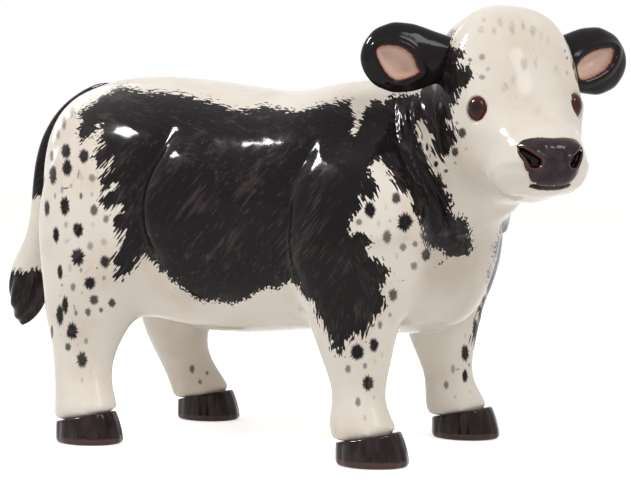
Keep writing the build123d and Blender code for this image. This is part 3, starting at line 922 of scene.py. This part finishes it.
# Where an ear's ovals lie along it, with their half height and half thickness, as shares
EAR_OVALS = np.array([
    (-0.15, 0.25, 0.38), (0.0, 0.29, 0.42), (0.2, 0.375, 0.47), (0.42, 0.475, 0.5), (0.64, 0.5, 0.48),
    (0.84, 0.4, 0.4), (0.95, 0.23, 0.27), (1.0, 0.0, 0.0),
])
BOWLS = {
    "right": [
        (377, 47), (383, 44.5), (390, 44), (398, 45), (406, 48), (412, 53), (416, 59), (418, 66), (421, 72),
        (415, 76), (408, 79), (401, 81), (395, 80.5), (389, 77), (384, 71), (380, 64), (377, 57),
        (375.5, 51),
    ],
    "left": [
        (577, 66), (581, 59), (587, 54), (594, 50), (602, 47.5), (611, 46.5), (615.5, 49), (615, 55),
        (612, 63), (607, 70), (600, 75), (592, 79), (585, 81), (580, 80), (578, 74),
    ],
}


def ear_shape(side):
    """The mesh of one ear without its bowl, and the direction that its front looks in."""
    lag, sweep = radians(EAR_LAG), radians(EAR_SWEEP + side * EAR_LAG)
    root_x, root_y = EAR_ROOT[0], side * EAR_ROOT[1]
    root = np.array([root_x * cos(lag) - root_y * sin(lag), root_x * sin(lag) + root_y * cos(lag), EAR_RISE])
    out = np.array([-sin(sweep), side * cos(sweep), 0])
    front = np.array([cos(sweep), side * sin(sweep), 0])
    shape = bmesh.new()
    bmesh.ops.create_uvsphere(shape, u_segments=120, v_segments=90, radius=1)
    start, inner, outer = EAR_OVALS[0, 0], 0.3, 0.02
    for point in shape.verts:
        across, above, along = point.co
        girth = max(sqrt(max(1 - along * along, 0)), 1e-6)
        reach = start + (1 - start) * (along + 1) / 2
        high, deep = (sqrt(np.interp(reach, EAR_OVALS[:, 0], EAR_OVALS[:, part] ** 2)) for part in (1, 2))
        end = min(1, girth / (inner if along < 0 else outer)) / girth
        place = root + out * reach * EAR_LENGTH + front * across * deep * EAR_THICKNESS * end
        place[2] += above * high * EAR_HEIGHT * end
        point.co = from_head(place)
    bmesh.ops.recalc_face_normals(shape, faces=shape.faces)
    if shape.calc_volume(signed=True) < 0:
        bmesh.ops.reverse_faces(shape, faces=shape.faces)
    return shape, front @ HEAD_AXES


def press_bowl(ear, bowl, front):
    """Presses the bowl into an ear's front and swells the rim around it."""
    smooth(ear, 18)
    ahead = ramp(get_normals(ear) @ front, -0.1, 0.3)
    inside = inside_distance(to_pixels(get_places(ear)), bowl) / EAR_PIXELS
    swollen = RIM_SWELL * np.exp(-(((inside + 1.1) / 0.8) ** 2))
    shift(ear, (swollen - BOWL_DEPTH * ramp(inside, -0.5, 3.6)) * ahead, front)
    smooth(ear, 2)
    keep(ear, "bowl", np.where(ahead > 0.2, inside, -3))
    print("in the bowl", int(((ahead > 0.2) & (inside > 0)).sum()))


# %% Ear glaze
ear_glaze, tree, paint = glazed("ear glaze", 0.2, 0.12)
ragged = brushed(tree, stored(tree, "bowl"), Fine=0.5)
pink = mixed(tree, step_up(tree, ragged, 0.3, 1.6), colour(190, 150, 132), colour(226, 198, 184))
pink = mixed(tree, step_up(tree, ragged, 0.55, 0.2), pink, colour(104, 50, 42))
tree.links.new(mixed(tree, step_up(tree, ragged, -0.12, 0.15), SOOT, pink), paint)

for side, hand in ((-1, "right"), (1, "left")):
    ear_mesh, front = ear_shape(side)
    ear = put(f"calf_ear_{hand}", ear_mesh)
    press_bowl(ear, BOWLS[hand], front)
    ear.data.materials.append(ear_glaze)
    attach(ear, "root")
    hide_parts(f"ear_{hand}")

# %% [markdown]
# ## The eyes
#
# Each eye is an oval bead, nearly black in the middle, that clears to a reddish brown at its rim.

# %% Bead eyes
# Half of a bead's thickness, width and height, in mm
BEAD_HALVES = (2.4, 3.0, 3.75)
amber, tree, paint = glazed("eye glass", 0.0, 0.25)
ring = stored(tree, "ring")
iris = mixed(tree, step_up(tree, ring, 0.25, 0.9), colour(34, 9, 7), colour(72, 25, 16))
iris = mixed(tree, step_up(tree, ring, 0.88, 0.98), iris, colour(120, 66, 50))
tree.links.new(iris, paint)

for hand, place in EYES.items():
    bead_shape = bmesh.new()
    axes = Matrix(eye_axes(hand)).transposed().to_4x4()
    size = Matrix.Diagonal((*(half * MM for half in BEAD_HALVES), 1))
    middle = Matrix.Translation(place)
    bmesh.ops.create_uvsphere(bead_shape, u_segments=48, v_segments=32, radius=1, matrix=middle @ axes @ size)
    bead = put(f"calf_eye_{hand}", bead_shape)
    out, across, above = ((get_places(bead) - place) @ eye_axes(hand).T / MM).T
    reach = np.hypot(across / BEAD_HALVES[1], above / BEAD_HALVES[2])
    keep(bead, "ring", np.where(out > -0.2, reach, 1))
    bead.data.materials.append(amber)
    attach(bead, "root")
    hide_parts(f"eye_{hand}")

# %% [markdown]
# ## The nose pad
#
# The pad is a rounded shield, wide at the nostrils and narrow at the lip. Its outline is laid out in the
# head's own axes, seen from the front. A sphere's rings are scaled to it: the front half falls back onto the
# muzzle and swells a little, and the back half lies under it.

# %% Lay the pad on the muzzle
# Half of the outline, from the middle of the top edge to the middle of the lip: left of and above its middle
PAD_HALF = [
    (0.0, 6.8), (3.6, 7.0), (6.8, 6.8), (9.2, 5.9), (10.4, 3.9), (10.2, 1.5), (9.0, -0.9), (8.1, -3.2),
    (7.1, -5.2), (5.3, -6.8), (2.8, -7.4), (0.0, -7.5),
]
PAD_MIDDLE, PAD_DEPTH, PAD_SWELL, PAD_SUNK = -17.6, 3.4, 1.0, 0.25
PAD_POINTS = 240


def rounded(corners, count):
    """Evenly spaced points on a smooth closed curve through the corners."""
    corners = np.array(corners, float)
    share = np.arange(count) * len(corners) / count
    start = share.astype(int)
    t = (share - start)[:, None]
    a, b, c, d = (corners[(start + ahead) % len(corners)] for ahead in (-1, 0, 1, 2))
    bend = (2 * a - 5 * b + 4 * c - d) * t ** 2 + (3 * b - a - 3 * c + d) * t ** 3
    return 0.5 * (2 * b + (c - a) * t + bend)


pad_outline = rounded([*PAD_HALF, *[(-x, z) for x, z in PAD_HALF[-2:0:-1]]], PAD_POINTS)
skin_faces = [tuple(face.vertices) for face in skin.data.polygons]
skin_tree = BVHTree.FromPolygons(get_places(skin).tolist(), skin_faces)
forward = Vector(HEAD_AXES[0])
pad_shape = bmesh.new()
bmesh.ops.create_uvsphere(pad_shape, u_segments=144, v_segments=72, radius=1)
for point in pad_shape.verts:
    aside, above, ahead = point.co
    share = np.hypot(aside, above)
    turn = np.arctan2(aside, above) % (2 * pi) / (2 * pi)
    aside, above = pad_outline[int(turn * PAD_POINTS) % PAD_POINTS] * share
    start = Vector(from_head((60, aside, PAD_MIDDLE + above)))
    hit = skin_tree.ray_cast(start, -forward)[0]
    rise = PAD_SWELL * (1 - share ** 5) - PAD_SUNK if ahead >= 0 else -PAD_DEPTH
    point.co = hit + forward * rise * MM
bmesh.ops.recalc_face_normals(pad_shape, faces=pad_shape.faces)
pad = put("calf_nose", pad_shape)

# %% Press the nostrils in
# A nostril's line from its narrow end down to its wide end, in the same axes as the pad
NOSTRIL = [(9.3, 3.1), (8.6, 2.3), (7.4, 0.9), (6.1, -0.5)]
# The line of the mouth, close under the pad, and how deep the skin sinks to make room
MOUTH_LINE = [(-6.0, -7.3), (-3.2, -8.0), (0, -8.2), (3.2, -8.0), (6.0, -7.3)]
PAD_ROOM = 2.9


def on_pad(places):
    """Places as millimetres left of and above the pad's middle."""
    _, aside, above = to_head(places).T
    return np.stack([aside, above - PAD_MIDDLE], 1)


smooth(pad, 3)
offsets = on_pad(get_places(pad))
gap, _, along = line_distance(np.abs(offsets) * (1, 0) + offsets * (0, 1), NOSTRIL)
gap = gap - along
front = (get_normals(pad) @ HEAD_AXES[0]) > 0.1
swollen = 0.3 * np.exp(-(((gap - 1.5) / 0.5) ** 2))
shift(pad, (swollen - 2.2 * (1 - ramp(gap, 0.1, 1.0))) * front, HEAD_AXES[0])
keep(pad, "nostril", np.where(front, gap, 9))
keep(pad, "edge", inside_distance(offsets, pad_outline))

# %% Make room under the pad
places = get_places(skin)
ahead = to_head(places)[:, 0] > 15
under = ramp(inside_distance(on_pad(places), pad_outline), 0.2, 1.4) * ahead
keep(skin, "mouth", np.where(ahead, line_distance(on_pad(places), MOUTH_LINE)[0], 9))
shift(skin, -PAD_ROOM * under, HEAD_AXES[0])

# %% Nose glaze
nose_glaze, tree, paint = glazed("nose glaze", 0.3, 0.16)
mottle = noise(tree, place_on(tree), 300.0, 3.0)
plum = mixed(tree, step_up(tree, mottle, 0.35, 0.65), colour(48, 37, 42), colour(64, 52, 57))
ring = stored(tree, "nostril")
rosy = times(tree, step_up(tree, ring, 0.6, 0.9), step_up(tree, ring, 1.6, 1.1))
plum = mixed(tree, times(tree, rosy, 0.6), plum, colour(112, 68, 62))
plum = mixed(tree, step_up(tree, ring, 0.8, 0.5), plum, colour(22, 9, 8))
plum = mixed(tree, step_up(tree, stored(tree, "edge"), 0.55, 0.15), plum, colour(84, 46, 40))
tree.links.new(plum, paint)
pad.data.materials.append(nose_glaze)
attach(pad, "root")
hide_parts("nose_pad")

# %% [markdown]
# ## The hooves
#
# Each hoof is a dark, glossy wedge with a brown line above the sole. Shallow upright facets catch the light.

# %% Hooves
HOOF_SIDES, FACET_DEPTH = 13, 0.3
hoof_glaze, tree, paint = glazed("hoof glaze", 0.35, 0.18)
place = place_on(tree)
grain = noise(tree, calc_vector(tree, "MULTIPLY", place, (500, 500, 90)), 1.0, 3.0)
horn = mixed(tree, step_up(tree, grain, 0.4, 0.7), colour(34, 22, 24), colour(58, 42, 45))
height = add(tree, "SeparateXYZ", {0: place})["Z"]
height = calc(tree, "MULTIPLY_ADD", calc(tree, "SUBTRACT", grain, 0.5), 0.0012, height)
horn = mixed(tree, step_up(tree, height, 0.0026, 0.0018), horn, colour(84, 62, 58))
tree.links.new(horn, paint)

for leg in LEGS:
    name = leg.replace("leg", "hoof")
    hoof = remeshed(f"calf_{name}", merged([name]), 0.5)
    smooth(hoof, 3)
    ahead, aside, _ = (get_places(hoof) - middle_of(name)).T
    facet = FACET_DEPTH * (np.abs(np.cos(np.arctan2(aside, ahead * 0.8) * HOOF_SIDES / 2)) - 1)
    shift(hoof, facet * (1 - np.abs(get_normals(hoof)[:, 2])))
    hoof.data.materials.append(hoof_glaze)
    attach(hoof, "root")
    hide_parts(name)

# %% [markdown]
# ## The tail
#
# The tail hangs down the rump: black at its root, white along its length, with a black tuft of strands.

# %% Tail
tail = remeshed("calf_tail", merged(["tail"]), 0.7)
smooth(tail, 4)
places = get_places(tail)
down = to_pixels(places)[:, 1]
# Strands run around the tail's middle line, which leans back as it goes down
around = np.arctan2(places[:, 1], places[:, 0] + 0.108 + 0.00012 * (down - 240))
shift(tail, 0.35 * (np.cos(around * 11 + down / 26) - 1.5) * ramp(down, 262, 285))
# The root is black above row 197 of the picture, and the tuft below row 270
keep(tail, "coat", np.maximum(197 - down, down - 270) / COAT_PIXELS)

switch, tree, paint = glazed("painted tail", 0.3)
mask = step_up(tree, brushed(tree, stored(tree, "coat"), Fine=9.0, Wide=4.0), -0.3, 0.3)
tree.links.new(use(tree, coat, {"Black": mask})["Color"], paint)
tail.data.materials.append(switch)
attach(tail, "root")
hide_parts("tail")

# %% [markdown]
# ## Light and floor
#
# The ornament stands on a plain white sweep under soft lamps. The floor looks white to the lens and to all
# that mirrors it, and it still keeps the calf's shadow.

# %% Studio
MIDDLE = Vector((0, 0, 0.07))


def lamp(name, place, size, power):
    """A soft rectangular lamp that points at the middle of the calf."""
    light = bpy.data.lights.new(name, "AREA")
    light.shape = "RECTANGLE"
    light.size, light.size_y = size
    light.energy = power
    holder = bpy.data.objects.new(name, light)
    holder.location = place
    holder.rotation_euler = (MIDDLE - Vector(place)).to_track_quat("-Z", "Y").to_euler()
    bpy.context.scene.collection.objects.link(holder)
    print(name, power, "watts")
    return holder


key = lamp("key lamp", (-0.41, -0.50, 0.76), (0.3, 0.4), 3.0)
glint = lamp("glint lamp", (-0.56, -0.33, 0.76), (0.14, 0.2), 14.0)
lamp("side lamp", (0.70, -0.26, 0.70), (0.2, 0.3), 2.5)
top = lamp("top lamp", (0.05, -0.2, 0.85), (0.6, 0.5), 0.6)
lamp("rear lamp", (-0.6, 0.35, 0.4), (0.3, 0.4), 0.8)
# The small lamp makes the highlights on the glaze, and the large ones light the colours
glint.visible_diffuse = False
key.visible_glossy = False
top.visible_glossy = False


# %% White for the lens and for reflections
def seen_white(tree):
    """1 for rays from the lens, off a shiny surface or through glass, and 0 for others."""
    rays = add(tree, "LightPath")
    shiny = calc(tree, "MAXIMUM", rays["Is Camera Ray"], rays["Is Glossy Ray"])
    return calc(tree, "MAXIMUM", shiny, rays["Is Transmission Ray"])


world = bpy.data.worlds.new("studio")
world.use_nodes = True
room = world.node_tree
seen = seen_white(room)
level = add(room, "MapRange", {"Value": seen, "To Min": 0.37, "To Max": 1.0})["Result"]
light = mixed(room, seen, (1, 0.94, 0.87, 1), (1, 1, 1, 1))
backdrop = room.nodes["Background"].inputs
room.links.new(level, backdrop["Strength"])
room.links.new(light, backdrop["Color"])
bpy.context.scene.world = world
bpy.context.scene.view_settings.view_transform = "Standard"

# %% Floor
floor_shape = bmesh.new()
bmesh.ops.create_grid(floor_shape, x_segments=1, y_segments=1, size=4)
floor = put("floor", floor_shape)

sweep = bpy.data.materials.new("white sweep")
sweep.use_nodes = True
paper = sweep.node_tree.nodes["Principled BSDF"].inputs
paper["Base Color"].default_value = (0.85, 0.85, 0.85, 1)
paper["Roughness"].default_value = 0.9
paper["Emission Color"].default_value = (1, 1, 1, 1)
glow = times(sweep.node_tree, seen_white(sweep.node_tree), 0.64)
sweep.node_tree.links.new(glow, paper["Emission Strength"])
floor.data.materials.append(sweep)
